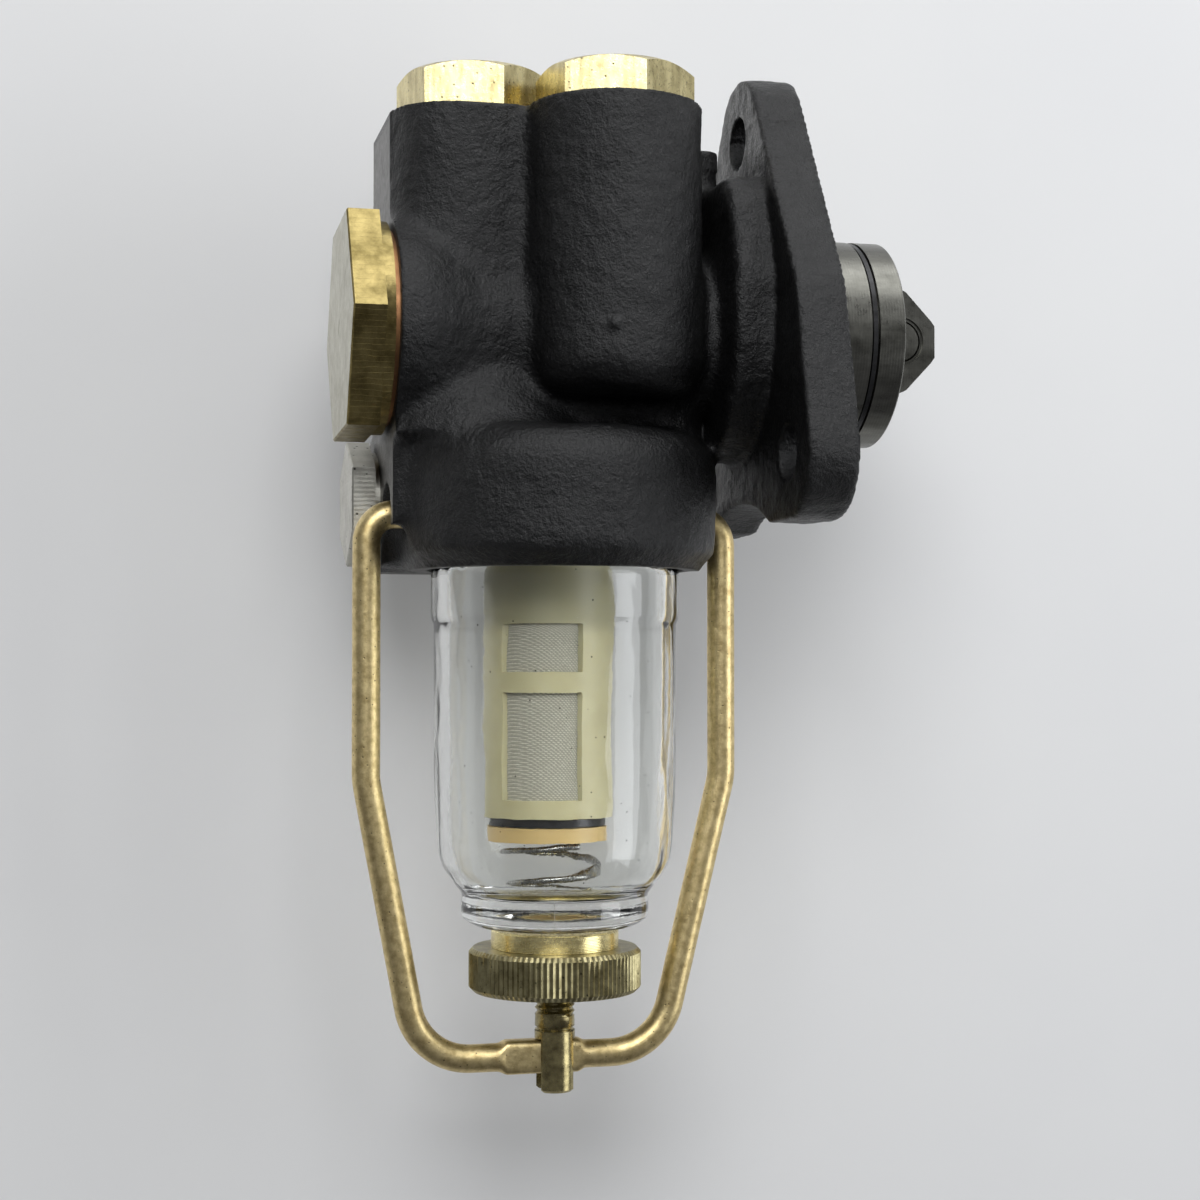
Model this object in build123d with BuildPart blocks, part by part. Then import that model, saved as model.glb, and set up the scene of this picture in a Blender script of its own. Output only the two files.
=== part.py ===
"""Plunger-type diesel fuel feed pump with a glass sediment bowl.

Frame: millimetres, +Z up, +X along the tappet axis towards the engine.
The origin is the centre of the flange's mounting face, on the tappet axis.
The glass bowl hangs below the housing, on an axis parallel to Z.
"""
import os
from math import radians, sin, sqrt, tan

from build123d import *

os.makedirs("parts", exist_ok=True)

# ---------------------------------------------------------------- driving dimensions

# mounting flange
flange_thickness = 10.0
upper_hole_z = 40.5
lower_hole_y = 31.5
lower_hole_z = -25.5
flange_hole_radius = 5.25
lobe_radius = 12.7
flange_shoulder_y = 21.0
flange_shoulder_radius = 16.5
flange_arch_radius = 40.0
flange_arch_z = -33.2
spot_face_radius = 11.0

# drive side: tappet, roller, push rod and piston, all on the X axis
tappet_radius = 20.9
tappet_bore_radius = 20.95
tappet_bore_depth = 15.5
tappet_tail_x = -7.5
tappet_face_x = 18.3
ring_groove_x = 11.2
roller_x = 21.8
roller_radius = 8.6
roller_width = 9.0
roller_pin_radius = 4.3
push_rod_radius = 4.0
piston_radius = 11.0
piston_left_x = -60.0
piston_right_x = -42.0
running_clearance = 0.05

# bowl head, milled side face and valve bosses
bowl_x = -48.0
head_radius = 32.0
head_edge_radius = 8.0
head_top_z = -20.0
head_bottom_z = -47.0
side_face_x = -81.6
left_relief_depth = 3.4
boss_top_z = 42.2
delivery_x = -39.0
delivery_y = -13.1
delivery_boss_radius = 17.1
suction_x = -63.8
suction_y = 4.0
suction_boss_radius = 17.8
hub_radius = 24.8
hub_left_x = -18.0
column_flare_deg = 28
valve_bore_radius = 11.0
valve_seat_z = 16.0
inlet_y = 20.0
inlet_z = -33.0
inlet_boss_radius = 14.5
outlet_x = -39.0
outlet_z = 25.0
outlet_face_y = 28.0
outlet_radius = 7.0
outlet_depth = 14.0

# hexagon plugs: across flats
spring_plug_flats = 41.4
valve_plug_flats = 27.0
inlet_plug_flats = 22.0
plug_washer_thickness = 1.0
spring_plug_collar = 2.0
valve_washer_thickness = 1.2

# glass bowl
glass_top_z = -45.0
glass_swing_radius = 82.05
glass_radius = 24.0
glass_band_radius = 24.6
glass_heel_radius = 18.6
glass_inner_radius = 21.4
glass_floor_z = -110.5

# strainer
strainer_x = -49.3
strainer_radius = 12.8
strainer_wall = 1.0
strainer_bottom_z = -95.0
strainer_seat_depth = 2.0
window_count = 3
window_turn = 251.6
window_width_deg = 73.0

# bail, stud, collar and nut
wire_radius = 2.75
pivot_z = -36.2
bail_x = -49.6
leg_spacing = 71.8
bend_z = -88.0
base_z = -142.6
base_x = -51.0
base_corner_spacing = 48.4
stud_radius = 4.0
stud_top_z = -119.0
stud_bottom_z = -149.5
collar_radius = 12.6
collar_swing_radius = 82.37
nut_top_z = -121.2
nut_bottom_z = -129.7
nut_radius = 17.1


def save(piece, name):
    """Label a finished piece and write it as parts/name.step."""
    piece.part.label = name
    export_step(piece.part, f"parts/{name}.step")


def yz_plane(x):
    """A sketch plane facing +X at the given x: local x is +Y, local y is +Z."""
    return Plane(origin=(x, 0, 0), x_dir=(0, 1, 0), z_dir=(1, 0, 0))


def xz_plane(y):
    """A sketch plane facing +Y at the given y: local x is -X, local y is +Z."""
    return Plane(origin=(0, y, 0), x_dir=(-1, 0, 0), z_dir=(0, 1, 0))


# the bowl's section: local x is the distance from the bowl's axis, local y is +Z
bowl_section = Plane(origin=(bowl_x, 0, 0), x_dir=(1, 0, 0), z_dir=(0, -1, 0))


# ---------------------------------------------------------------- housing

flange_lobes = [(0, upper_hole_z), (-lower_hole_y, lower_hole_z), (lower_hole_y, lower_hole_z)]

with BuildPart() as pump_housing:
    # flange: three lobes joined by straight tangents, arched between the two lower ones
    with BuildSketch(yz_plane(-flange_thickness)) as flange_outline:
        with Locations(*flange_lobes):
            Circle(lobe_radius)
        with Locations((-flange_shoulder_y, 0), (flange_shoulder_y, 0)):
            Circle(flange_shoulder_radius)
        make_hull()
        with Locations((0, flange_arch_z - flange_arch_radius)):
            Circle(flange_arch_radius, mode=Mode.SUBTRACT)
    extrude(amount=flange_thickness)
    fillet(pump_housing.faces().filter_by(Axis.X).edges(), 0.6)

    # hub round the tappet bore, with a shouldered block on its upper half
    with BuildSketch(yz_plane(hub_left_x)):
        Circle(hub_radius)
        with BuildLine():
            Polyline(
                (-hub_radius, 0), (-hub_radius, 10), (-19, 27), (-15.5, 30.5),
                (15.5, 30.5), (19, 27), (hub_radius, 10), (hub_radius, 0), close=True)
        make_face()
    extrude(amount=-hub_left_x - flange_thickness + 1)

    # piston barrel, wider at the round seat of the spring plug
    with BuildSketch(yz_plane(side_face_x)):
        Circle(21.5)
    extrude(amount=4)
    with BuildSketch(yz_plane(side_face_x + 4)):
        Circle(21.5)
    extrude(amount=18, taper=23)
    with BuildSketch(yz_plane(side_face_x)):
        Circle(16)
    extrude(amount=hub_left_x + 1 - side_face_x)

    # bowl head: a thick disc with a big rounding on top and a step below
    with BuildSketch(bowl_section):
        with BuildLine():
            Polyline(
                (0, head_bottom_z), (head_radius - 3.2, head_bottom_z), (head_radius - 3.2, head_bottom_z + 2),
                (head_radius, head_bottom_z + 2), (head_radius, head_top_z), (0, head_top_z), close=True)
        make_face()
        fillet(vertices().sort_by(Axis.Y)[-2:].sort_by(Axis.X)[-1:], head_edge_radius)
    revolve(axis=Axis((bowl_x, 0, 0), (0, 0, 1)))

    # suction column, flared into the head, with a web towards the delivery boss, which ends in a
    # dome above the head
    column_front_y = suction_y - suction_boss_radius
    with BuildSketch(Plane.XY.offset(head_top_z - 4)):
        with BuildLine():
            Polyline(
                (side_face_x, 22), (side_face_x, column_front_y), (-58.5, column_front_y), (-53, -12),
                (-40, -12), (-40, 22), close=True)
        make_face()
        fillet(vertices().sort_by(Axis.X)[:2].sort_by(Axis.Y)[:1], 13)
    extrude(amount=boss_top_z - head_top_z + 4)
    with BuildSketch(Plane.XY.offset(-8)):
        with Locations((suction_x, suction_y)):
            Circle(suction_boss_radius)
    extrude(amount=-14, taper=-column_flare_deg)
    with BuildSketch(Plane(origin=(delivery_x, delivery_y, 0), x_dir=(1, 0, 0), z_dir=(0, -1, 0))):
        with Locations((delivery_boss_radius / 2, (boss_top_z - 14) / 2)):
            Rectangle(delivery_boss_radius, boss_top_z + 14)
        fillet(vertices().sort_by(Axis.X)[-2:].sort_by(Axis.Y)[:1], 7)
    revolve(axis=Axis((delivery_x, delivery_y, 0), (0, 0, 1)))

    # core between barrel, bosses and head, and the wall behind the bosses
    with BuildSketch(Plane.XY.offset(head_bottom_z + 6)):
        with Locations((bowl_x, 7)):
            RectangleRounded(58, 38, 10)
    extrude(amount=50)
    with BuildSketch(Plane.XY.offset(head_top_z)):
        with BuildLine():
            Polyline((-78, 0), (-78, 24), (-24, 24), (-13.6, 15), (-13.6, 0), (-40, -4), close=True)
        make_face()
        fillet(vertices(), 3)
    extrude(amount=38.8 - head_top_z)

    # milled pad on the left of the head, level with the suction column's face
    with BuildSketch(Plane.XY.offset(head_bottom_z + 2)):
        with Locations((side_face_x + 11, 0)):
            Rectangle(22, 21)
        fillet(vertices(), 2.5)
    extrude(amount=25)

    # inlet boss at the back of the milled face, outlet boss on the rear
    with BuildSketch(Plane(origin=(side_face_x, inlet_y, inlet_z), x_dir=(0, 1, 0), z_dir=(1, 0, 0))):
        Circle(inlet_boss_radius)
        with Locations((-8, -3)):
            Rectangle(20, 20)
    extrude(amount=28)
    with BuildSketch(Plane(origin=(outlet_x, 20, outlet_z), x_dir=(-1, 0, 0), z_dir=(0, 1, 0))):
        Circle(13)
    extrude(amount=outlet_face_y - 20)

    # what stands out of the machined bottom and side face is removed
    with BuildSketch(Plane.XY.offset(head_bottom_z - 20)):
        with Locations((bowl_x, 0)):
            Rectangle(120, 120)
    extrude(amount=20, mode=Mode.SUBTRACT)
    with BuildSketch(yz_plane(side_face_x)):
        Rectangle(120, 120)
    extrude(amount=-20, mode=Mode.SUBTRACT)

    # spot faces and holes of the flange
    with BuildSketch(yz_plane(-flange_thickness)):
        with Locations(*flange_lobes):
            Circle(spot_face_radius)
    extrude(amount=-3, mode=Mode.SUBTRACT)
    with BuildSketch(yz_plane(0)):
        with Locations(*flange_lobes):
            Circle(flange_hole_radius)
    extrude(amount=-flange_thickness, mode=Mode.SUBTRACT)

    # bores on the tappet axis
    with BuildSketch(yz_plane(0)):
        Circle(tappet_bore_radius)
    extrude(amount=-tappet_bore_depth, mode=Mode.SUBTRACT)
    with BuildSketch(yz_plane(0)):
        Circle(push_rod_radius + running_clearance)
    extrude(amount=side_face_x, mode=Mode.SUBTRACT)
    with BuildSketch(yz_plane(-37)):
        Circle(piston_radius + running_clearance)
    extrude(amount=side_face_x + 37, mode=Mode.SUBTRACT)
    with BuildSketch(yz_plane(side_face_x)):
        Circle(13.05)
    extrude(amount=18, mode=Mode.SUBTRACT)

    # valve chambers with a seat for the washer, and the drilled ways to the barrel
    with BuildSketch(Plane.XY.offset(boss_top_z)):
        with Locations((delivery_x, delivery_y), (suction_x, suction_y)):
            Circle(valve_bore_radius)
    extrude(amount=valve_seat_z - boss_top_z, mode=Mode.SUBTRACT)
    with BuildSketch(Plane.XY.offset(boss_top_z)):
        with Locations((delivery_x, delivery_y), (suction_x, suction_y)):
            Circle(13.2)
    extrude(amount=-valve_washer_thickness, mode=Mode.SUBTRACT)
    with BuildSketch(Plane(origin=(delivery_x, delivery_y, valve_seat_z), z_dir=(0, -0.5, 0.7))):
        Circle(3)
    extrude(amount=-12, mode=Mode.SUBTRACT)
    with BuildSketch(Plane(origin=(suction_x, suction_y, valve_seat_z), z_dir=(-0.25, 0.2, 0.7))):
        Circle(3)
    extrude(amount=-10, mode=Mode.SUBTRACT)

    # inlet bore and its way down into the bowl; outlet bore into the delivery chamber
    with BuildSketch(Plane(origin=(side_face_x, inlet_y, inlet_z), x_dir=(0, 1, 0), z_dir=(1, 0, 0))):
        Circle(outlet_radius)
    extrude(amount=28, mode=Mode.SUBTRACT)
    with BuildSketch(Plane.XY.offset(head_bottom_z)):
        with Locations((bowl_x - 8.5, 16.8)):
            Circle(2.2)
    extrude(amount=inlet_z - head_bottom_z, mode=Mode.SUBTRACT)
    with BuildSketch(Plane(origin=(outlet_x, outlet_face_y, outlet_z), x_dir=(-1, 0, 0), z_dir=(0, 1, 0))):
        Circle(outlet_radius)
    extrude(amount=-outlet_depth, mode=Mode.SUBTRACT)
    with BuildSketch(Plane(origin=(outlet_x, outlet_face_y, outlet_z), x_dir=(-1, 0, 0), z_dir=(0, 1, 0))):
        Circle(3.5)
    extrude(amount=-36, mode=Mode.SUBTRACT)

    # gasket groove and strainer spigot recess in the head, way up to the suction valve
    with BuildSketch(Plane.XY.offset(head_bottom_z)):
        with Locations((bowl_x, 0)):
            Circle(glass_band_radius + 0.6)
            Circle(19, mode=Mode.SUBTRACT)
    extrude(amount=4, mode=Mode.SUBTRACT)
    with BuildSketch(Plane.XY.offset(head_bottom_z)):
        with Locations((strainer_x, 0)):
            Circle(strainer_radius + 0.4)
    extrude(amount=strainer_seat_depth, mode=Mode.SUBTRACT)
    with BuildSketch(Plane.XY.offset(head_bottom_z + strainer_seat_depth)):
        with Locations((-55, 2)):
            Circle(3.2)
    extrude(amount=17, mode=Mode.SUBTRACT)

    # bail: pivot holes and their counterbores, side flat on the right, arched relief on the left,
    # notch behind the right pivot
    with BuildSketch(Plane(origin=(side_face_x, 0, pivot_z), x_dir=(0, 1, 0), z_dir=(1, 0, 0))):
        Circle(wire_radius + running_clearance)
    extrude(amount=11, mode=Mode.SUBTRACT)
    with BuildSketch(Plane(origin=(bowl_x + head_radius, 0, pivot_z), x_dir=(0, 1, 0), z_dir=(1, 0, 0))):
        Circle(wire_radius + running_clearance)
    extrude(amount=-14, mode=Mode.SUBTRACT)
    with BuildSketch(Plane(origin=(side_face_x, 0, pivot_z), x_dir=(0, 1, 0), z_dir=(1, 0, 0))):
        Circle(6)
    extrude(amount=left_relief_depth, mode=Mode.SUBTRACT)
    with BuildSketch(Plane(origin=(bowl_x + head_radius, 0, pivot_z), x_dir=(0, 1, 0), z_dir=(1, 0, 0))):
        Circle(5.5)
    extrude(amount=-4.6, mode=Mode.SUBTRACT)
    with BuildSketch(Plane.XY.offset(head_bottom_z)):
        with Locations((bowl_x + 30.9 + 3.4, 0)):
            Rectangle(6.8, 30)
    extrude(amount=17, mode=Mode.SUBTRACT)
    with BuildSketch(xz_plane(-16)):
        with Locations((-side_face_x - left_relief_depth, head_bottom_z + 8)):
            Rectangle(8, 20, align=(Align.MIN, Align.MAX))
        fillet(vertices().sort_by(Axis.X)[:2].sort_by(Axis.Y)[-1:], 2)
    extrude(amount=24, mode=Mode.SUBTRACT)
    with BuildSketch(xz_plane(-5)):
        with Locations((18.5, head_bottom_z + 4)):
            Rectangle(6, 15.6)
    extrude(amount=30, mode=Mode.SUBTRACT)
save(pump_housing, "pump_housing")


# ---------------------------------------------------------------- hexagon plugs and their washers

def sharp_hexagon_head(plane, flats, height, turn):
    """A plug's hexagon standing on a plane, with crisp corners and a fine chamfer round its end."""
    with BuildPart() as head:
        with BuildSketch(plane):
            RegularPolygon(flats / sqrt(3), 6, rotation=turn)
        extrude(amount=height)
        chamfer(head.faces().sort_by(Axis(plane.origin, plane.z_dir))[-1:].edges(), 0.3)
    return head.part


def hexagon_head(plane, flats, height, turn):
    """A plug's hexagon standing on a plane, its outer corners trimmed by the usual 30 degree cone."""
    corner = flats / sqrt(3)
    trim_radius = flats / 2 - 0.3
    trim_height = (corner + 1 - trim_radius) * tan(radians(30))
    side = Plane(origin=plane.origin, x_dir=plane.x_dir, z_dir=-plane.y_dir)
    with BuildPart() as head:
        with BuildSketch(plane):
            RegularPolygon(corner, 6, rotation=turn)
        extrude(amount=height)
        with BuildSketch(side):
            with BuildLine():
                Polyline(
                    (0, 0), (corner + 1, 0), (corner + 1, height - trim_height),
                    (trim_radius, height), (0, height), close=True)
            make_face()
        revolve(axis=Axis(plane.origin, plane.z_dir), mode=Mode.INTERSECT)
    return head.part


spring_plug_base_x = side_face_x - plug_washer_thickness - spring_plug_collar
spring_plug_plane = Plane(origin=(spring_plug_base_x, 0, 0), x_dir=(0, -1, 0), z_dir=(-1, 0, 0))
spring_plug_height = 6.3
spring_plug_head = sharp_hexagon_head(spring_plug_plane, spring_plug_flats, spring_plug_height, 2)
with BuildPart() as spring_chamber_plug:
    add(spring_plug_head)
    with BuildSketch(spring_plug_plane):
        Circle(20.7)
    extrude(amount=-spring_plug_collar)
    with BuildSketch(spring_plug_plane):
        Circle(13)
    extrude(amount=-18)
    with BuildSketch(spring_plug_plane.offset(-18)):
        Circle(11.4)
    extrude(amount=14, mode=Mode.SUBTRACT)
save(spring_chamber_plug, "spring_chamber_plug")

with BuildPart() as spring_plug_washer:
    with BuildSketch(yz_plane(side_face_x - plug_washer_thickness)):
        Circle(19)
        Circle(13.2, mode=Mode.SUBTRACT)
    extrude(amount=plug_washer_thickness)
save(spring_plug_washer, "spring_plug_washer")

inlet_plug_plane = Plane(
    origin=(side_face_x - plug_washer_thickness, inlet_y, inlet_z), x_dir=(0, -1, 0), z_dir=(-1, 0, 0))
inlet_plug_height = 4.7
inlet_plug_head = sharp_hexagon_head(inlet_plug_plane, inlet_plug_flats, inlet_plug_height, 32)
with BuildPart() as inlet_port_plug:
    add(inlet_plug_head)
    with BuildSketch(inlet_plug_plane):
        Circle(outlet_radius - 0.05)
    extrude(amount=-12)
save(inlet_port_plug, "inlet_port_plug")

with BuildPart() as inlet_plug_washer:
    with BuildSketch(inlet_plug_plane):
        Circle(10.6)
        Circle(outlet_radius + 0.2, mode=Mode.SUBTRACT)
    extrude(amount=-plug_washer_thickness)
save(inlet_plug_washer, "inlet_plug_washer")

for name, x, y, height, turn in [
    ("delivery_valve", delivery_x, delivery_y, 7.4, -20.9),
    ("suction_valve", suction_x, suction_y, 9.4, -17.9),
]:
    top_plane = Plane(origin=(x, y, boss_top_z))
    plug_head = hexagon_head(top_plane, valve_plug_flats, height, turn)
    with BuildPart() as plug:
        add(plug_head)
        with BuildSketch(top_plane):
            Circle(valve_bore_radius - 0.05)
        extrude(amount=-14)
        with BuildSketch(top_plane.offset(-14)):
            Circle(5.2)
        extrude(amount=10, mode=Mode.SUBTRACT)
    save(plug, name + "_plug")

    with BuildPart() as washer:
        with BuildSketch(top_plane.offset(-valve_washer_thickness)):
            Circle(13)
            Circle(valve_bore_radius + 0.1, mode=Mode.SUBTRACT)
        extrude(amount=valve_washer_thickness)
    save(washer, name + "_washer")

    with BuildPart() as disc:
        with BuildSketch(Plane(origin=(x, y, valve_seat_z))):
            Circle(9.5)
        extrude(amount=2)
        with BuildSketch(Plane(origin=(x, y, valve_seat_z + 2))):
            Circle(3)
        extrude(amount=3)
    save(disc, name + "_disc")


# ---------------------------------------------------------------- springs

def coil(foot, direction, radius, wire, height, turns, cone_angle=0.0):
    """A round-wire coil spring of the given height, standing on its foot point."""
    rise = height - 2 * wire
    start = Vector(foot) + Vector(direction) * wire
    with BuildPart() as spring:
        with BuildLine() as centre_line:
            Helix(rise / turns, rise, radius, center=start, direction=direction, cone_angle=cone_angle)
        with BuildSketch(centre_line.line ^ 0):
            Circle(wire)
        sweep(is_frenet=True)
    return spring


spring_plug_floor_x = spring_plug_base_x + 4
piston_pocket = 10.0
piston_spring = coil(
    (spring_plug_floor_x, 0, 0), (1, 0, 0), 5.6, 0.8, piston_left_x + piston_pocket - spring_plug_floor_x, 9)
save(piston_spring, "piston_spring")

disc_top_z = valve_seat_z + 2
valve_spring_height = boss_top_z - 4 - disc_top_z
delivery_valve_spring = coil(
    (delivery_x, delivery_y, disc_top_z), (0, 0, 1), 4.2, 0.4, valve_spring_height, 8)
save(delivery_valve_spring, "delivery_valve_spring")
suction_valve_spring = coil(
    (suction_x, suction_y, disc_top_z), (0, 0, 1), 4.2, 0.4, valve_spring_height, 8)
save(suction_valve_spring, "suction_valve_spring")

strainer_disc_bottom_z = strainer_bottom_z - 4.7
strainer_spring = coil(
    (strainer_x + 0.6, 0, glass_floor_z), (0, 0, 1), 7.8, 0.7, strainer_disc_bottom_z - glass_floor_z, 1.75,
    cone_angle=14)
save(strainer_spring, "strainer_spring")


# ---------------------------------------------------------------- piston, push rod, tappet and roller

with BuildPart() as piston:
    with BuildSketch(yz_plane(piston_left_x)):
        Circle(piston_radius)
    extrude(amount=piston_right_x - piston_left_x)
    with BuildSketch(yz_plane(piston_left_x)):
        Circle(7.5)
    extrude(amount=piston_pocket, mode=Mode.SUBTRACT)
    chamfer(piston.edges().filter_by(GeomType.CIRCLE).filter_by(
        lambda e: abs(e.radius - piston_radius) < 0.01), 0.5)
save(piston, "piston")

with BuildPart() as push_rod:
    with BuildSketch(yz_plane(piston_right_x)):
        Circle(push_rod_radius)
    extrude(amount=2 - piston_right_x)
    chamfer(push_rod.edges().filter_by(GeomType.CIRCLE), 0.4)
save(push_rod, "push_rod")

ear_outer_y = 9.0
ear_inner_y = roller_width / 2 + 0.1
with BuildPart() as tappet_body:
    with BuildSketch(yz_plane(tappet_tail_x)):
        Circle(tappet_radius)
    extrude(amount=tappet_face_x - tappet_tail_x)
    chamfer(tappet_body.edges().filter_by(GeomType.CIRCLE), 0.3)
    # two ears carry the roller pin
    with BuildSketch(xz_plane(-ear_outer_y)):
        with BuildLine():
            upper = [(-16, 12), (-18.5, 12), (-22.9, 10), (-28.3, 4.3), (-29.1, 3.2)]
            lower = [(x, -z) for x, z in reversed(upper)]
            Polyline(*upper, *lower, close=True)
        make_face()
    extrude(amount=2 * ear_outer_y)
    # roller slot and pin hole
    with BuildSketch(yz_plane(roller_x - roller_radius - 1.2)):
        Rectangle(2 * ear_inner_y, 2 * roller_radius + 2.4)
    extrude(amount=30, mode=Mode.SUBTRACT)
    with BuildSketch(Plane(origin=(roller_x, -ear_outer_y - 1, 0), x_dir=(-1, 0, 0), z_dir=(0, 1, 0))):
        Circle(roller_pin_radius)
    extrude(amount=2 * ear_outer_y + 2, mode=Mode.SUBTRACT)
    for countersink_y in (-ear_outer_y, ear_outer_y - 0.5):
        with BuildSketch(Plane(origin=(roller_x, countersink_y, 0), x_dir=(-1, 0, 0), z_dir=(0, 1, 0))):
            Circle(roller_pin_radius + 0.55)
        extrude(amount=0.5, mode=Mode.SUBTRACT)
    # hollow skirt for the push rod, and the snap ring's groove
    with BuildSketch(yz_plane(tappet_tail_x)):
        Circle(16)
    extrude(amount=2 - tappet_tail_x, mode=Mode.SUBTRACT)
    with BuildSketch(yz_plane(ring_groove_x)):
        Circle(tappet_radius + 1)
        Circle(tappet_radius - 1.3, mode=Mode.SUBTRACT)
    extrude(amount=1.7, mode=Mode.SUBTRACT)
save(tappet_body, "tappet_body")

with BuildPart() as tappet_snap_ring:
    with BuildSketch(yz_plane(ring_groove_x + 0.4)):
        Circle(tappet_radius - 0.2)
        Circle(tappet_radius - 1.3, mode=Mode.SUBTRACT)
        with Locations((tappet_radius, 0)):
            Rectangle(6, 3.5, mode=Mode.SUBTRACT)
    extrude(amount=0.9)
save(tappet_snap_ring, "tappet_snap_ring")

with BuildPart() as roller_pin:
    with BuildSketch(Plane(origin=(roller_x, -8.6, 0), x_dir=(-1, 0, 0), z_dir=(0, 1, 0))):
        Circle(roller_pin_radius)
    extrude(amount=17.2)
    chamfer(roller_pin.edges().filter_by(GeomType.CIRCLE), 0.4)
save(roller_pin, "roller_pin")

with BuildPart() as roller:
    with BuildSketch(Plane(origin=(roller_x, -roller_width / 2, 0), x_dir=(-1, 0, 0), z_dir=(0, 1, 0))):
        Circle(roller_radius)
        Circle(roller_pin_radius + running_clearance, mode=Mode.SUBTRACT)
    extrude(amount=roller_width)
    chamfer(roller.edges().filter_by(GeomType.CIRCLE).filter_by(
        lambda e: abs(e.radius - roller_radius) < 0.01), 0.6)
save(roller, "roller")


# ---------------------------------------------------------------- bowl, gasket and strainer

with BuildPart() as bowl_gasket:
    with BuildSketch(Plane(origin=(bowl_x, 0, glass_top_z))):
        Circle(glass_band_radius + 0.2)
        Circle(glass_inner_radius - 1.4, mode=Mode.SUBTRACT)
    extrude(amount=head_bottom_z + 4 - glass_top_z)
save(bowl_gasket, "bowl_gasket")


def swing_point(radius, swing_radius):
    """A point of the bowl's section on a circle about the bail's pivot line.

    The bowl's foot and the collar's seat both follow such circles, so the collar
    clears the foot by the same small gap wherever the bail stands.
    """
    return (radius, pivot_z - sqrt(swing_radius ** 2 - radius ** 2))


with BuildPart() as glass_bowl:
    with BuildSketch(bowl_section):
        with BuildLine():
            Polyline(
                (glass_inner_radius, glass_top_z),
                (glass_band_radius, glass_top_z),
                (glass_band_radius, -56.0),
                (glass_radius, -58.2),
                (glass_radius, -85.0),
                (23.1, -102.0),
            )
            Spline((23.1, -102.0), (22.3, -105.0), (20.2, -108.2), (18.5, -110.6))
            Polyline(
                (18.5, -110.6),
                (glass_heel_radius, -112.0),
                (glass_heel_radius, -115.0),
                swing_point(16.4, glass_swing_radius),
            )
            ThreePointArc(
                swing_point(16.4, glass_swing_radius),
                swing_point(8, glass_swing_radius),
                swing_point(0, glass_swing_radius),
            )
            Polyline(swing_point(0, glass_swing_radius), (0, glass_floor_z), (14.5, glass_floor_z))
            Spline(
                (14.5, glass_floor_z), (17.6, -109.2), (19.8, -105.2), (20.6, -100.0),
                tangents=((1, 0), (0.05, 1)),
            )
            Line((20.6, -100.0), (glass_inner_radius, glass_top_z))
        make_face()
    revolve(axis=Axis((bowl_x, 0, 0), (0, 0, 1)))
save(glass_bowl, "glass_bowl")

strainer_plane = Plane(origin=(strainer_x, 0, strainer_bottom_z))
window_rows = [(-91.5, -71.0), (-67.0, -56.5)]
with BuildPart() as strainer_frame:
    with BuildSketch(strainer_plane):
        Circle(strainer_radius)
        Circle(strainer_radius - strainer_wall, mode=Mode.SUBTRACT)
    extrude(amount=head_bottom_z + strainer_seat_depth - strainer_bottom_z)
    # base plate, groove for the clip ring, and the lower disc on which the spring bears
    with BuildSketch(strainer_plane):
        Circle(strainer_radius)
    extrude(amount=1.5)
    with BuildSketch(strainer_plane):
        Circle(9.8)
    extrude(amount=-1.8)
    with BuildSketch(strainer_plane.offset(-1.8)):
        Circle(11.8)
    extrude(amount=-2.9)
    for low_z, high_z in window_rows:
        with BuildSketch(Plane(origin=(strainer_x, 0, low_z))):
            Circle(strainer_radius + 1)
            with PolarLocations(0, window_count, start_angle=window_turn + 180 / window_count):
                Rectangle(
                    40, 2 * strainer_radius * sin(radians(180 / window_count - window_width_deg / 2)),
                    align=(Align.MIN, Align.CENTER), mode=Mode.SUBTRACT)
            Circle(strainer_radius - strainer_wall - 0.5, mode=Mode.SUBTRACT)
        extrude(amount=high_z - low_z, mode=Mode.SUBTRACT)
save(strainer_frame, "strainer_frame")

with BuildPart() as strainer_mesh:
    with BuildSketch(Plane(origin=(strainer_x, 0, strainer_bottom_z + 1.5))):
        Circle(strainer_radius - strainer_wall)
        Circle(strainer_radius - strainer_wall - 0.5, mode=Mode.SUBTRACT)
    extrude(amount=38.5)
save(strainer_mesh, "strainer_mesh")

with BuildPart() as strainer_clip_ring:
    with BuildSketch(strainer_plane.offset(-0.2)):
        Circle(11.4)
        Circle(9.9, mode=Mode.SUBTRACT)
    extrude(amount=-1.4)
save(strainer_clip_ring, "strainer_clip_ring")


# ---------------------------------------------------------------- bail, stud, collar and nut

left_x = bail_x - leg_spacing / 2
right_x = bail_x + leg_spacing / 2
left_base_x = base_x - base_corner_spacing / 2
right_base_x = base_x + base_corner_spacing / 2
flat_left_x = -58.6
flat_right_x = -43.0

bail_plane = Plane(origin=(0, 0, 0), x_dir=(1, 0, 0), z_dir=(0, -1, 0))
with BuildPart() as bail:
    with BuildLine(bail_plane) as bail_path:
        FilletPolyline(
            (side_face_x + 9.6, pivot_z), (left_x, pivot_z), (left_x, bend_z), (left_base_x, base_z),
            (right_base_x, base_z), (right_x, bend_z), (right_x, pivot_z), (bowl_x + head_radius - 11, pivot_z),
            radius=(5.5, 15, 12.5, 12.5, 15, 5.5),
        )
    with BuildSketch(bail_path.line ^ 0):
        Circle(wire_radius)
    sweep(transition=Transition.ROUND)
    # the wire is pressed flat where the stud straddles it
    with BuildSketch(yz_plane(flat_left_x)):
        with Locations((0, base_z)):
            RectangleRounded(4.6, 7.0, 1.6)
    extrude(amount=flat_right_x - flat_left_x)
    with BuildSketch(yz_plane(flat_left_x)):
        with Locations((0, base_z)):
            Rectangle(12, 12)
            Rectangle(4.6, 12, mode=Mode.SUBTRACT)
    extrude(amount=flat_right_x - flat_left_x, mode=Mode.SUBTRACT)
save(bail, "bail")

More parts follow.
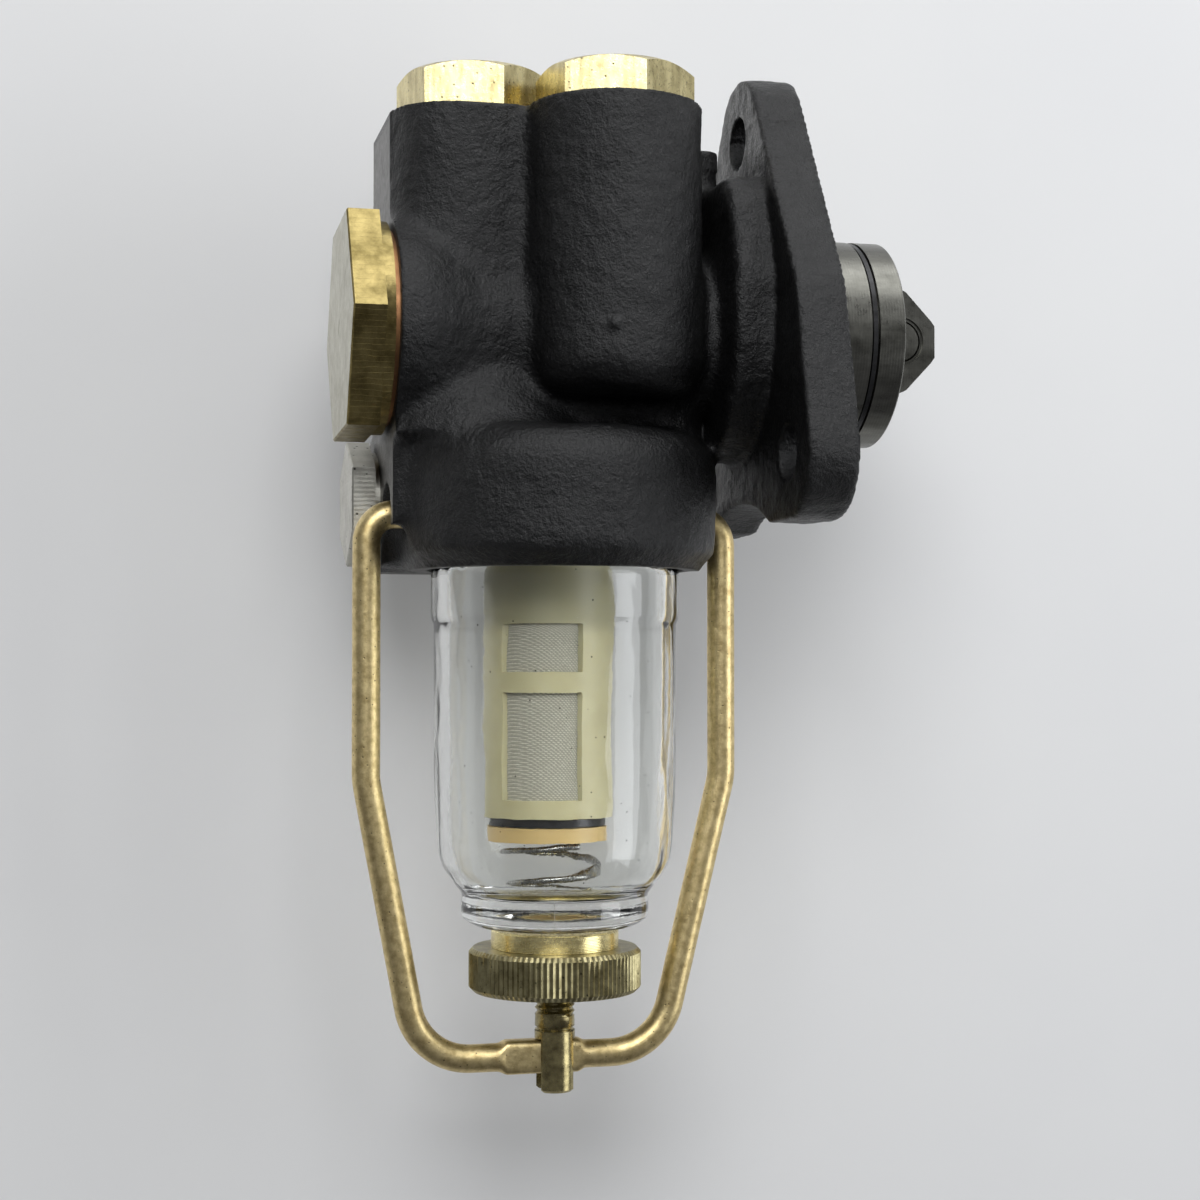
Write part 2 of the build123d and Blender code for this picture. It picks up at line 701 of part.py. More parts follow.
with BuildPart() as bail_stud:
    with BuildSketch(Plane(origin=(bowl_x, 0, stud_bottom_z))):
        Circle(stud_radius)
    extrude(amount=stud_top_z - stud_bottom_z)
    chamfer(bail_stud.edges().filter_by(GeomType.CIRCLE), 0.5)
    # fork slot along the wire, and the relief below the thread
    with BuildSketch(yz_plane(bowl_x - 6)):
        with Locations((0, base_z + 3.5)):
            Rectangle(4.7, 20, align=(Align.CENTER, Align.MAX))
    extrude(amount=12, mode=Mode.SUBTRACT)
    with BuildSketch(Plane(origin=(bowl_x, 0, base_z + 5.0))):
        Circle(stud_radius + 1)
        Circle(stud_radius - 0.5, mode=Mode.SUBTRACT)
    extrude(amount=1.2, mode=Mode.SUBTRACT)
save(bail_stud, "bail_stud")

nut_bore_radius = stud_radius + running_clearance
collar_rim_z = swing_point(collar_radius, collar_swing_radius)[1]
with BuildPart() as pressure_collar:
    with BuildSketch(bowl_section):
        with BuildLine():
            ThreePointArc(
                swing_point(nut_bore_radius, collar_swing_radius),
                swing_point(8, collar_swing_radius),
                swing_point(collar_radius - 0.4, collar_swing_radius),
            )
            Polyline(
                swing_point(collar_radius - 0.4, collar_swing_radius),
                (collar_radius, collar_rim_z - 0.4),
                (collar_radius, nut_top_z),
                (nut_bore_radius, nut_top_z),
                swing_point(nut_bore_radius, collar_swing_radius),
            )
        make_face()
    revolve(axis=Axis((bowl_x, 0, 0), (0, 0, 1)))
save(pressure_collar, "pressure_collar")

with BuildPart() as knurled_nut:
    with BuildSketch(Plane(origin=(bowl_x, 0, nut_bottom_z))):
        Circle(nut_radius)
        Circle(nut_bore_radius, mode=Mode.SUBTRACT)
    extrude(amount=nut_top_z - nut_bottom_z)
    chamfer(knurled_nut.edges().filter_by(GeomType.CIRCLE).filter_by(
        lambda e: abs(e.radius - nut_radius) < 0.01), 0.8)
save(knurled_nut, "knurled_nut")
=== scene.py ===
"""Looks of a diesel fuel feed pump with a glass sediment bowl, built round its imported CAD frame.

Lengths are metres, and MM turns millimetres into them. +X points along the tappet to the
engine and +Z up; the camera looks at the front, along +Y.
"""
from math import atan2, cos, hypot, sin, sqrt, tan, tau

import bmesh
import bpy
import numpy as np
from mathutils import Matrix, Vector, noise


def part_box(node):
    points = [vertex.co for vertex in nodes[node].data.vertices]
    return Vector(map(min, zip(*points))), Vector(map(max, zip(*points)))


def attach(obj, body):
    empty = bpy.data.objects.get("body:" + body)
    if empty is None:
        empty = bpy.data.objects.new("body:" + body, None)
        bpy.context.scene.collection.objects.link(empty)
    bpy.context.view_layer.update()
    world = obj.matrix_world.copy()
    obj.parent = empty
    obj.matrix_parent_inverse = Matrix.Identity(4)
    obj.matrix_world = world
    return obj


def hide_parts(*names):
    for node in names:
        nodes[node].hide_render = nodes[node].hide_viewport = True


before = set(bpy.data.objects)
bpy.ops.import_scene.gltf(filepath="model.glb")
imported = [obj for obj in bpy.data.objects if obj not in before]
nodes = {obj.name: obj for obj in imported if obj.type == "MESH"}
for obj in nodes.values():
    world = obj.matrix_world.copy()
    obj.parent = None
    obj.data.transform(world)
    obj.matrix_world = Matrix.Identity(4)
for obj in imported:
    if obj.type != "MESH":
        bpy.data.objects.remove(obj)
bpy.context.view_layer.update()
MM = 0.001
scene = bpy.context.scene


# ---------------------------------------------------------------- places read from the frame

def middle(node):
    """Middle of a CAD node's box."""
    low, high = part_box(node)
    return (low + high) / 2


bowl_x = middle("glass_bowl").x
bowl_top_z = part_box("glass_bowl")[1].z
housing_low, housing_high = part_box("pump_housing")
side_face_x = housing_low.x
boss_top_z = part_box("delivery_valve_washer")[1].z
head_bottom_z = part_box("bowl_gasket")[0].z - 2 * MM
BAIL_PIVOT_Z = -36.2  # mm; the glass foot follows a circle about it


# ---------------------------------------------------------------- mesh helpers

def new_object(name, vertices, faces, smooth=True):
    """A mesh object from vertices in metres and index faces."""
    mesh = bpy.data.meshes.new(name)
    mesh.from_pydata([tuple(v) for v in vertices], [], faces)
    mesh.validate()
    mesh.polygons.foreach_set("use_smooth", [smooth] * len(mesh.polygons))
    mesh.update()
    piece = bpy.data.objects.new(name, mesh)
    scene.collection.objects.link(piece)
    return piece


def lathe(name, profile, segments):
    """A closed profile of (radius, z) points in millimetres turned about the bowl's axis.

    The profile runs clockwise, down its outer side, so that the faces look outwards.
    """
    count = len(profile)
    vertices, faces = [], []
    for step in range(segments):
        angle = tau * step / segments
        vertices += [(bowl_x + r * MM * cos(angle), r * MM * sin(angle), z * MM)
                     for r, z in profile]
        after = (step + 1) % segments
        for index in range(count):
            following = (index + 1) % count
            faces.append((step * count + following, after * count + following,
                          after * count + index, step * count + index))
    return new_object(name, vertices, faces)


def swell(piece, profile, shift):
    """Move a turned piece's vertices away from the bowl's axis.

    shift(angle, radius, z, index) is in millimetres, and index counts along the profile.
    """
    for vertex in piece.data.vertices:
        x, y, z = vertex.co.x - bowl_x, vertex.co.y, vertex.co.z
        angle, radius = atan2(y, x), hypot(x, y)
        radius += shift(angle, radius / MM, z / MM, vertex.index % len(profile)) * MM
        vertex.co.x, vertex.co.y = bowl_x + radius * cos(angle), radius * sin(angle)
    piece.data.update()


def ring_faces(rings, around, flipped=False):
    """Quads between rings of vertices that follow each other, flipped to face the other way."""
    faces = []
    for ring in range(rings - 1):
        for step in range(around):
            after = (step + 1) % around
            a, b = ring * around, (ring + 1) * around
            near, far = (b + step, a + after) if not flipped else (a + after, b + step)
            faces.append((a + step, near, b + after, far))
    return faces


def apply_modifiers(piece):
    """Turn a piece's modifiers into its mesh."""
    graph = bpy.context.evaluated_depsgraph_get()
    mesh = bpy.data.meshes.new_from_object(piece.evaluated_get(graph))
    piece.modifiers.clear()
    piece.data = mesh


def column(items, attribute, width=1, kind=float):
    """One attribute of a mesh's vertices, edges, corners or faces as an array."""
    values = np.empty(len(items) * width, kind)
    items.foreach_get(attribute, values)
    return values.reshape(-1, width) if width > 1 else values


def sharpen(piece, degrees=32):
    """Shade smoothly except across edges that turn by more than these degrees."""
    mesh = piece.data
    mesh.polygons.foreach_set("use_smooth", [True] * len(mesh.polygons))
    mesh.set_sharp_from_angle(angle=degrees * tau / 360)


# ---------------------------------------------------------------- material helpers

class Finish:
    """A node material with the few nodes that the finishes below share."""

    def __init__(self, name):
        self.material = bpy.data.materials.new(name)
        self.material.use_nodes = True
        self.tree = self.material.node_tree
        self.shader = self.tree.nodes["Principled BSDF"]
        self.place = self.node("ShaderNodeTexCoord").outputs["Object"]
        self.height = None

    def node(self, kind, **settings):
        made = self.tree.nodes.new(kind)
        for key, value in settings.items():
            setattr(made, key, value)
        return made

    def link(self, source, target):
        self.tree.links.new(source, target)

    def fill(self, socket, value):
        """Give a socket a link, a colour or a number."""
        if isinstance(value, bpy.types.NodeSocket):
            self.link(value, socket)
        elif hasattr(value, "__len__"):
            socket.default_value = (*value, 1)
        else:
            socket.default_value = value

    def set(self, **values):
        """Set the shader's own sockets, such as Metallic or Roughness."""
        for key, value in values.items():
            self.shader.inputs[key.replace("_", " ")].default_value = value

    def mapped(self, centre=(0, 0, 0), scale=(1, 1, 1)):
        """Object coordinates about centre, stretched by scale."""
        mapping = self.node("ShaderNodeMapping", vector_type="POINT")
        mapping.inputs["Scale"].default_value = scale
        mapping.inputs["Location"].default_value = [-c * s for c, s in zip(centre, scale)]
        self.link(self.place, mapping.inputs["Vector"])
        return mapping.outputs["Vector"]

    def noise(self, size, detail=3.0, roughness=0.55, vector=None, distortion=0.0):
        """Noise whose features are about size metres across."""
        made = self.node("ShaderNodeTexNoise")
        made.inputs["Scale"].default_value = 1 / size
        made.inputs["Detail"].default_value = detail
        made.inputs["Roughness"].default_value = roughness
        made.inputs["Distortion"].default_value = distortion
        self.link(vector or self.place, made.inputs["Vector"])
        return made.outputs["Fac"]

    def cells(self, size, vector=None):
        """Distance to the nearest point of a scatter spaced about size metres."""
        made = self.node("ShaderNodeTexVoronoi")
        made.inputs["Scale"].default_value = 1 / size
        self.link(vector or self.place, made.inputs["Vector"])
        return made.outputs["Distance"]

    def bands(self, pitch, direction="Z", vector=None, distortion=0.0, kind="BANDS",
              profile="SIN"):
        """Ridges or rings of the given pitch in metres."""
        made = self.node("ShaderNodeTexWave", wave_type=kind, wave_profile=profile)
        if kind == "BANDS":
            made.bands_direction = direction
        else:
            made.rings_direction = direction
        made.inputs["Scale"].default_value = tau / 20 / pitch
        made.inputs["Distortion"].default_value = distortion
        made.inputs["Detail"].default_value = 1.0
        self.link(vector or self.place, made.inputs["Vector"])
        return made.outputs["Fac"]

    def ramp(self, value, *stops):
        """Colours or greys against a value: stops are (position, colour or grey)."""
        made = self.node("ShaderNodeValToRGB")
        elements = made.color_ramp.elements
        while len(elements) < len(stops):
            elements.new(0.5)
        for element, (position, colour) in zip(elements, stops):
            element.position = position
            element.color = (*colour, 1) if hasattr(colour, "__len__") else (*[colour] * 3, 1)
        self.link(value, made.inputs["Fac"])
        return made.outputs["Color"]

    def mix(self, share, first, second, blend="MIX"):
        """Two colours mixed by a share, each a socket or a plain value."""
        made = self.node("ShaderNodeMix", data_type="RGBA", blend_type=blend)
        factor, colour_a, colour_b = (made.inputs[index] for index in (0, 6, 7))
        self.fill(factor, share)
        self.fill(colour_a, first)
        self.fill(colour_b, second)
        colour = made.outputs[2]
        return colour

    def math(self, operation, first, second=0.0, clamp=False):
        made = self.node("ShaderNodeMath", operation=operation, use_clamp=clamp)
        self.fill(made.inputs[0], first)
        self.fill(made.inputs[1], second)
        return made.outputs[0]

    def along(self, axis, low, high):
        """0 to 1 as the place on an axis goes from low to high."""
        parts = self.node("ShaderNodeSeparateXYZ")
        self.link(self.place, parts.inputs[0])
        span = self.node("ShaderNodeMapRange")
        span.inputs["From Min"].default_value = low
        span.inputs["From Max"].default_value = high
        self.link(parts.outputs[axis], span.inputs["Value"])
        return span.outputs["Result"]

    def facing(self, axis):
        """How squarely the surface faces along an axis, either way: 0 to 1."""
        parts = self.node("ShaderNodeSeparateXYZ")
        self.link(self.node("ShaderNodeNewGeometry").outputs["True Normal"], parts.inputs[0])
        return self.math("ABSOLUTE", parts.outputs[axis])

    def raise_surface(self, value, depth):
        """Add a bump of the given depth in metres."""
        bump = self.node("ShaderNodeBump")
        bump.inputs["Strength"].default_value = 1.0
        bump.inputs["Distance"].default_value = depth
        self.link(value, bump.inputs["Height"])
        if self.height:
            self.link(self.height, bump.inputs["Normal"])
        self.height = bump.outputs["Normal"]
        self.link(self.height, self.shader.inputs["Normal"])

    def colour(self, socket):
        self.link(socket, self.shader.inputs["Base Color"])

    def roughness(self, socket):
        self.link(socket, self.shader.inputs["Roughness"])


def metal(name, light, dark, gloss, patch=6 * MM, grain=0.25 * MM, grain_depth=0.004 * MM, pits=0,
          streaks=None):
    """Plated or bare metal: two tones in soft patches, uneven gloss, a fine grain and dark pits.

    gloss is the lowest and highest roughness, pits the spacing of the pits, and streaks a
    stretch of the patches along the axes.
    """
    finish = Finish(name)
    finish.set(Metallic=1.0)
    place = finish.mapped(scale=streaks) if streaks else None
    tone = finish.ramp(finish.noise(patch, 5.0, 0.65, place), (0.32, dark), (0.62, light))
    if pits:
        spots = finish.ramp(finish.cells(pits), (0.05, 0.12), (0.13, 1.0))
        tone = finish.mix(1.0, tone, spots, "MULTIPLY")
        finish.raise_surface(spots, 0.03 * MM)
    finish.colour(tone)
    sheen = finish.noise(patch / 3, 5.0, 0.7)
    finish.roughness(finish.ramp(sheen, (0.3, gloss[0]), (0.75, gloss[1])))
    finish.raise_surface(finish.noise(grain, 2.0), grain_depth)
    return finish


# ---------------------------------------------------------------- finishes

def cast_finish():
    """Black semi-gloss paint that follows the grain of a sand casting."""
    finish = Finish("cast_housing")
    finish.set(Specular_IOR_Level=0.36)
    tone = finish.noise(9 * MM, 4.0, 0.6)
    finish.colour(finish.ramp(tone, (0.3, (0.002, 0.002, 0.0021)), (0.7, (0.0048, 0.0048, 0.005))))
    gloss = finish.noise(0.5 * MM, 5.0, 0.75)
    finish.roughness(finish.ramp(gloss, (0.35, 0.24), (0.65, 0.52)))
    finish.raise_surface(finish.noise(2.4 * MM, 3.0, 0.6), 0.20 * MM)
    finish.raise_surface(finish.noise(0.9 * MM, 4.0, 0.7), 0.42 * MM)
    return finish.material


def milled_finish():
    """Bare milled iron, dull grey with fine tool marks."""
    light, dark = (0.10, 0.098, 0.094), (0.05, 0.048, 0.046)
    finish = metal("milled_iron", light, dark, (0.38, 0.55), 5 * MM)
    finish.raise_surface(finish.bands(0.5 * MM, "Z", distortion=0.4), 0.006 * MM)
    return finish.material


def valve_plug_finish(name, centre):
    """Bright yellow-passivated steel, turned on its end face, streaked and pitted on its flats."""
    light, dark = (0.70, 0.61, 0.33), (0.34, 0.28, 0.13)
    finish = metal(name, light, dark, (0.20, 0.42), 3.2 * MM, 0.35 * MM, 0.02 * MM,
                   pits=1.9 * MM, streaks=(1, 1, 0.35))
    rings = finish.bands(0.45 * MM, "Z", finish.mapped(centre), 0.6, "RINGS")
    finish.raise_surface(rings, 0.008 * MM)
    return finish.material


def chamber_plug_finish():
    """Aged plating: a pale end face with a punch mark, and machining lines on the flats."""
    punch_radius = 2 * MM
    finish = Finish("dark_zinc")
    finish.set(Metallic=1.0)
    end = finish.ramp(finish.facing("X"), (0.75, 0.0), (0.9, 1.0))
    patches = finish.noise(5 * MM, 5.0, 0.65)
    flats = finish.ramp(patches, (0.32, (0.13, 0.10, 0.035)), (0.65, (0.34, 0.27, 0.11)))
    face = finish.ramp(patches, (0.32, (0.28, 0.265, 0.20)), (0.65, (0.42, 0.41, 0.34)))
    finish.colour(finish.mix(end, flats, face))
    sheen = finish.noise(1.5 * MM, 5.0, 0.7)
    finish.roughness(finish.ramp(sheen, (0.3, 0.28), (0.75, 0.5)))
    lines = finish.bands(1.0 * MM, "Z", distortion=2.2, profile="SAW")
    finish.raise_surface(finish.mix(end, lines, (0.5, 0.5, 0.5)), 0.22 * MM)
    finish.raise_surface(finish.noise(0.4 * MM, 3.0), 0.025 * MM)
    on_face = finish.node("ShaderNodeVectorMath", operation="MULTIPLY")
    on_face.inputs[1].default_value = (0, 1, 1)
    finish.link(finish.place, on_face.inputs[0])
    off_centre = finish.node("ShaderNodeVectorMath", operation="LENGTH")
    finish.link(on_face.outputs["Vector"], off_centre.inputs[0])
    punch = finish.math("MULTIPLY", off_centre.outputs["Value"], 1 / punch_radius, clamp=True)
    finish.raise_surface(finish.ramp(punch, (0.35, 0.0), (0.9, 1.0)), 0.5 * MM)
    return finish.material


materials = {}
materials["cast"] = cast_finish()
materials["milled"] = milled_finish()
materials["dark_zinc"] = chamber_plug_finish()


def finish_plain_metals():
    """The finishes of turned, plated and spring steel parts."""
    copper = metal("copper_washer", (0.42, 0.22, 0.10), (0.24, 0.12, 0.06), (0.35, 0.55))
    materials["copper"] = copper.material
    ground = metal("ground_steel", (0.17, 0.168, 0.15), (0.075, 0.074, 0.064), (0.24, 0.40),
                   7 * MM, streaks=(0.25, 1, 1))
    ground.raise_surface(ground.bands(0.6 * MM, "X", distortion=0.5), 0.008 * MM)
    materials["ground"] = ground.material
    pale = metal("pale_steel", (0.50, 0.49, 0.44), (0.33, 0.32, 0.28), (0.28, 0.46),
                 pits=2.4 * MM)
    pale.raise_surface(pale.bands(0.9 * MM, "Z", distortion=1.5), 0.008 * MM)
    materials["pale"] = pale.material
    dark = metal("dark_steel", (0.06, 0.06, 0.062), (0.03, 0.03, 0.03), (0.3, 0.45))
    materials["dark"] = dark.material
    spring = metal("bright_spring_steel", (0.40, 0.40, 0.38), (0.20, 0.20, 0.19), (0.2, 0.35),
                   2 * MM)
    materials["spring"] = spring.material
    wire = metal("bail_wire", (0.74, 0.60, 0.31), (0.46, 0.35, 0.16), (0.32, 0.50),
                 1.6 * MM, 0.35 * MM, 0.03 * MM, pits=1.5 * MM)
    materials["wire"] = wire.material
    stud = metal("stud_brass", (0.42, 0.36, 0.18), (0.17, 0.14, 0.07), (0.2, 0.36), 2.5 * MM)
    materials["stud"] = stud.material
    collar = metal("collar_brass", (0.90, 0.78, 0.40), (0.60, 0.50, 0.23), (0.18, 0.34), 3 * MM,
                   streaks=(1, 1, 3))
    collar.raise_surface(collar.bands(0.3 * MM, "Z", distortion=0.5), 0.02 * MM)
    materials["collar"] = collar.material
    nut = metal("nut_brass", (0.38, 0.34, 0.19), (0.17, 0.145, 0.07), (0.24, 0.42), 3 * MM,
                pits=2.2 * MM)
    materials["nut"] = nut.material


finish_plain_metals()


def finish_plastics():
    """Valve discs, gasket, strainer and its mesh."""
    disc = Finish("valve_plastic")
    disc.set(Roughness=0.5)
    patches = disc.noise(3 * MM)
    disc.colour(disc.ramp(patches, (0.3, (0.05, 0.045, 0.04)), (0.7, (0.08, 0.075, 0.065))))
    materials["disc"] = disc.material
    rubber = Finish("seal_rubber")
    rubber.colour(rubber.ramp(rubber.noise(2 * MM), (0.3, 0.012), (0.7, 0.022)))
    rubber.roughness(rubber.ramp(rubber.noise(0.6 * MM), (0.3, 0.55), (0.7, 0.7)))
    rubber.raise_surface(rubber.noise(0.4 * MM), 0.02 * MM)
    materials["rubber"] = rubber.material
    # Painted shade: the strainer turns darker olive from 60 mm to 55 mm below the middle, where the
    # pump head above shades it.
    painted_head_shade = (-60 * MM, -55 * MM)
    lower_disc = (-96.2 * MM, -96.6 * MM)
    cream = Finish("strainer_plastic")
    cream.set(Roughness=0.42, Subsurface_Weight=0.25, Subsurface_Scale=0.002)
    cream.shader.inputs["Subsurface Radius"].default_value = (1.0, 0.8, 0.4)
    patches = cream.noise(8 * MM, 4.0)
    body = cream.ramp(patches, (0.25, (0.34, 0.31, 0.17)), (0.75, (0.42, 0.39, 0.23)))
    # Painted shade: a darker olive mixed over the strainer's top, up into the head.
    strainer_with_painted_shade = cream.mix(cream.along("Z", *painted_head_shade), body, (0.30, 0.28, 0.16))
    disc_colour = (0.46, 0.33, 0.13)
    cream.colour(cream.mix(cream.along("Z", *lower_disc), strainer_with_painted_shade, disc_colour))
    cream.raise_surface(cream.noise(1.2 * MM), 0.02 * MM)
    materials["cream"] = cream.material
    mesh = Finish("woven_mesh")
    mesh.set(Roughness=0.75)
    around = mesh.bands(0.36 * MM, "Z")
    up = mesh.bands(0.36 * MM, "DIAGONAL")
    weave = mesh.math("MULTIPLY", around, up)
    mesh.colour(mesh.ramp(weave, (0.1, (0.24, 0.23, 0.18)), (0.6, (0.42, 0.41, 0.33))))
    mesh.raise_surface(weave, 0.05 * MM)
    materials["mesh"] = mesh.material


finish_plastics()


def glass_finish():
    """Clear pressed glass with a faint grey cast, ripples and dark specks."""
    finish = Finish("clear_glass")
    finish.set(Transmission_Weight=1.0, IOR=1.5, Roughness=0.0)
    speck, clear = (0.03, 0.025, 0.02), (0.94, 0.95, 0.935)
    specks = finish.ramp(finish.cells(3.4 * MM), (0.035, speck), (0.06, clear))
    finish.colour(specks)
    finish.raise_surface(finish.noise(7 * MM, 2.0), 0.05 * MM)
    finish.raise_surface(finish.noise(1.1 * MM, 3.0, 0.6), 0.010 * MM)
    return finish.material


materials["glass"] = glass_finish()


def paint(piece, *names):
    """Give a piece these materials and nothing else."""
    piece.data.materials.clear()
    for name in names:
        piece.data.materials.append(materials[name])
    return piece


# ---------------------------------------------------------------- housing

def true_machining(place):
    """Snap the casting's machined faces and tappet bore to their true places.

    place has a row of millimetres for each vertex. Returned are masks of the flat faces, of the
    bore, and of all that the smoothing and the uneven skin leave alone.
    """
    snap = 0.32
    bore_radius, wall_inside, wall_outside = 21.02, 20.4, 21.4
    bore_bottom_x, wall_bottom_x = -16, -15
    flange_holes, hole_rim = ((0, 40.5), (-31.5, -25.5), (31.5, -25.5)), 5.7
    planes = ((2, boss_top_z / MM), (0, side_face_x / MM), (0, 0.0), (2, head_bottom_z / MM))
    flat = np.zeros(len(place), bool)
    for axis, level in planes:
        near = abs(place[:, axis] - level) < snap
        place[near, axis] = level
        flat |= near
    from_axis = np.hypot(place[:, 1], place[:, 2])
    in_bore = (from_axis < wall_outside) & (place[:, 0] > bore_bottom_x)
    bore_wall = in_bore & (from_axis > wall_inside) & (place[:, 0] > wall_bottom_x)
    place[bore_wall, 1:] *= (bore_radius / from_axis[bore_wall])[:, None]
    fixed = flat | in_bore
    for hole_y, hole_z in flange_holes:
        fixed |= np.hypot(place[:, 1] - hole_y, place[:, 2] - hole_z) < hole_rim
    return flat, in_bore, fixed


def soften(place, edges, step, rounds):
    """Draw each vertex towards the middle of its neighbours, by its own step in each round."""
    first, second = edges.T
    count = len(place)
    neighbours = np.bincount(first, minlength=count) + np.bincount(second, minlength=count)
    for _ in range(rounds):
        total = np.stack([
            np.bincount(first, place[second, k], count)
            + np.bincount(second, place[first, k], count) for k in range(3)], axis=1)
        place += step * (total / neighbours[:, None] - place)


def uneven_skin(place, fixed):
    """How far a sand casting's skin stands out at each vertex, in millimetres."""
    waves = ((0.30, 9), (0.16, 2.6), (0.10, 1.3))  # depth and size
    pip, pip_height, pip_radius = (-43.0, -30.0, -2.0), 0.9, 1.5
    shift = np.zeros(len(place))
    for index in np.flatnonzero(~fixed):
        point = Vector(place[index])
        shift[index] = sum(depth * noise.noise(point / size) for depth, size in waves)
    from_pip = np.linalg.norm(place - pip, axis=1)
    dome = pip_height * np.clip(1 - (from_pip / pip_radius) ** 2, 0, 1)
    return shift + np.where(fixed, 0, dome)


def cast_housing():
    """The housing as a sand casting: edges and corners run softly into each other and the skin
    is uneven, while the machined faces stay flat. The flange's edges stay nearly sharp."""
    flange_from, flange_blend = -13.0, 2.5
    piece = bpy.data.objects.new("cast_housing", nodes["pump_housing"].data.copy())
    scene.collection.objects.link(piece)
    remesh = piece.modifiers.new("remesh", "REMESH")
    remesh.mode = "VOXEL"
    remesh.voxel_size = 0.62 * MM
    apply_modifiers(piece)
    mesh = piece.data
    place = column(mesh.vertices, "co", 3) / MM
    flat, in_bore, fixed = true_machining(place)

    into_flange = np.clip((place[:, 0] - flange_from) / flange_blend, 0, 1)
    step = np.where(fixed, 0.0, 0.5 - 0.47 * into_flange)[:, None]
    soften(place, column(mesh.edges, "vertices", 2, np.int64), step, 60)
    mesh.vertices.foreach_set("co", (place * MM).ravel())
    mesh.update()
    place += uneven_skin(place, fixed)[:, None] * column(mesh.vertices, "normal", 3)
    mesh.vertices.foreach_set("co", (place * MM).ravel())
    mesh.polygons.foreach_set("use_smooth", [True] * len(mesh.polygons))

    paint(piece, "cast", "milled")
    milled = (flat & (place[:, 2] < boss_top_z / MM - 1)) | in_bore
    corners = column(mesh.loops, "vertex_index", kind=np.int64)
    starts = column(mesh.polygons, "loop_start", kind=np.int64)
    share = np.add.reduceat(milled[corners].astype(int), starts)
    mesh.polygons.foreach_set("material_index", (share >= 3).astype(np.int32))
    mesh.update()
    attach(piece, "pump")
    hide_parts("pump_housing")


cast_housing()


# ---------------------------------------------------------------- glass bowl

def glass_bowl():
    """The bowl turned as one closed shell, with a faintly rippled inner wall."""
    top = bowl_top_z / MM
    foot_radius = 82.0
    outer = [(24.6, top), (24.6, top - 4), (24.6, -55.6), (24.5, -56.6), (24.05, -57.6),
             (24.0, -59.5)]
    outer += [(24.0, z) for z in np.linspace(-62, -85, 10)]
    outer += [(24.0 - 0.9 * ((z + 85) / -17) ** 1.6, z) for z in np.linspace(-87, -101, 8)]
    outer += [(23.05, -102.2), (22.8, -103.6), (22.3, -105.0), (21.4, -106.5), (20.4, -108.0),
              (19.3, -109.4), (18.6, -110.4), (18.42, -110.9), (18.5, -112.0), (18.55, -113.4),
              (18.5, -114.7), (18.2, -115.3), (17.4, -115.9)]
    outer += [(r, BAIL_PIVOT_Z - sqrt(foot_radius ** 2 - r ** 2))
              for r in (16.2, 13, 10, 7, 4, 1.5, 0.02)]
    floor = [(0.02, -110.5), (4, -110.5), (8, -110.5), (12, -110.45), (14.5, -110.2),
             (16.3, -109.5), (17.8, -108.4), (19.0, -106.8), (19.9, -104.7), (20.4, -102.2)]
    wall = [(20.6 + 0.8 * (z + 100) / 55, z) for z in np.linspace(-100, top, 18)]
    profile = outer + floor + wall

    def ripple(angle, radius, z, index):
        """Faint waves outside, stronger ones inside, and none in the middle of the floor."""
        inside = index >= len(outer)
        if inside and radius < 12:
            return 0
        depth, turns, height = (0.13, 7, 5) if inside else (0.02, 4, 9)
        return depth * noise.noise(Vector((turns * cos(angle), turns * sin(angle), z / height)))

    piece = lathe("glass_shell", profile, 144)
    swell(piece, profile, ripple)
    paint(piece, "glass")
    piece.visible_shadow = False
    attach(piece, "pump")
    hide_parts("glass_bowl")


glass_bowl()


# ---------------------------------------------------------------- plugs, washers and inner parts

def dress_cad_parts():
    """Finishes of the parts whose CAD shape is the final one."""
    for name in ("delivery_valve_plug", "suction_valve_plug"):
        materials[name] = valve_plug_finish(name, middle(name))
        paint(nodes[name], name)
    paint(nodes["spring_chamber_plug"], "dark_zinc")
    paint(nodes["inlet_port_plug"], "pale")
    paint(nodes["inlet_plug_washer"], "pale")
    for name in ("spring_plug_washer", "delivery_valve_washer", "suction_valve_washer"):
        paint(nodes[name], "copper")
    for name in ("piston", "push_rod", "tappet_body", "roller", "roller_pin"):
        paint(nodes[name], "ground")
    for name in ("piston_spring", "delivery_valve_spring", "suction_valve_spring",
                 "strainer_spring"):
        paint(nodes[name], "spring")
    paint(nodes["tappet_snap_ring"], "dark")
    paint(nodes["strainer_clip_ring"], "dark")
    for name in ("delivery_valve_disc", "suction_valve_disc"):
        paint(nodes[name], "disc")
    paint(nodes["bowl_gasket"], "rubber")
    paint(nodes["strainer_frame"], "cream")
    paint(nodes["strainer_mesh"], "mesh")
    paint(nodes["pressure_collar"], "collar")


dress_cad_parts()


# ---------------------------------------------------------------- knurled nut

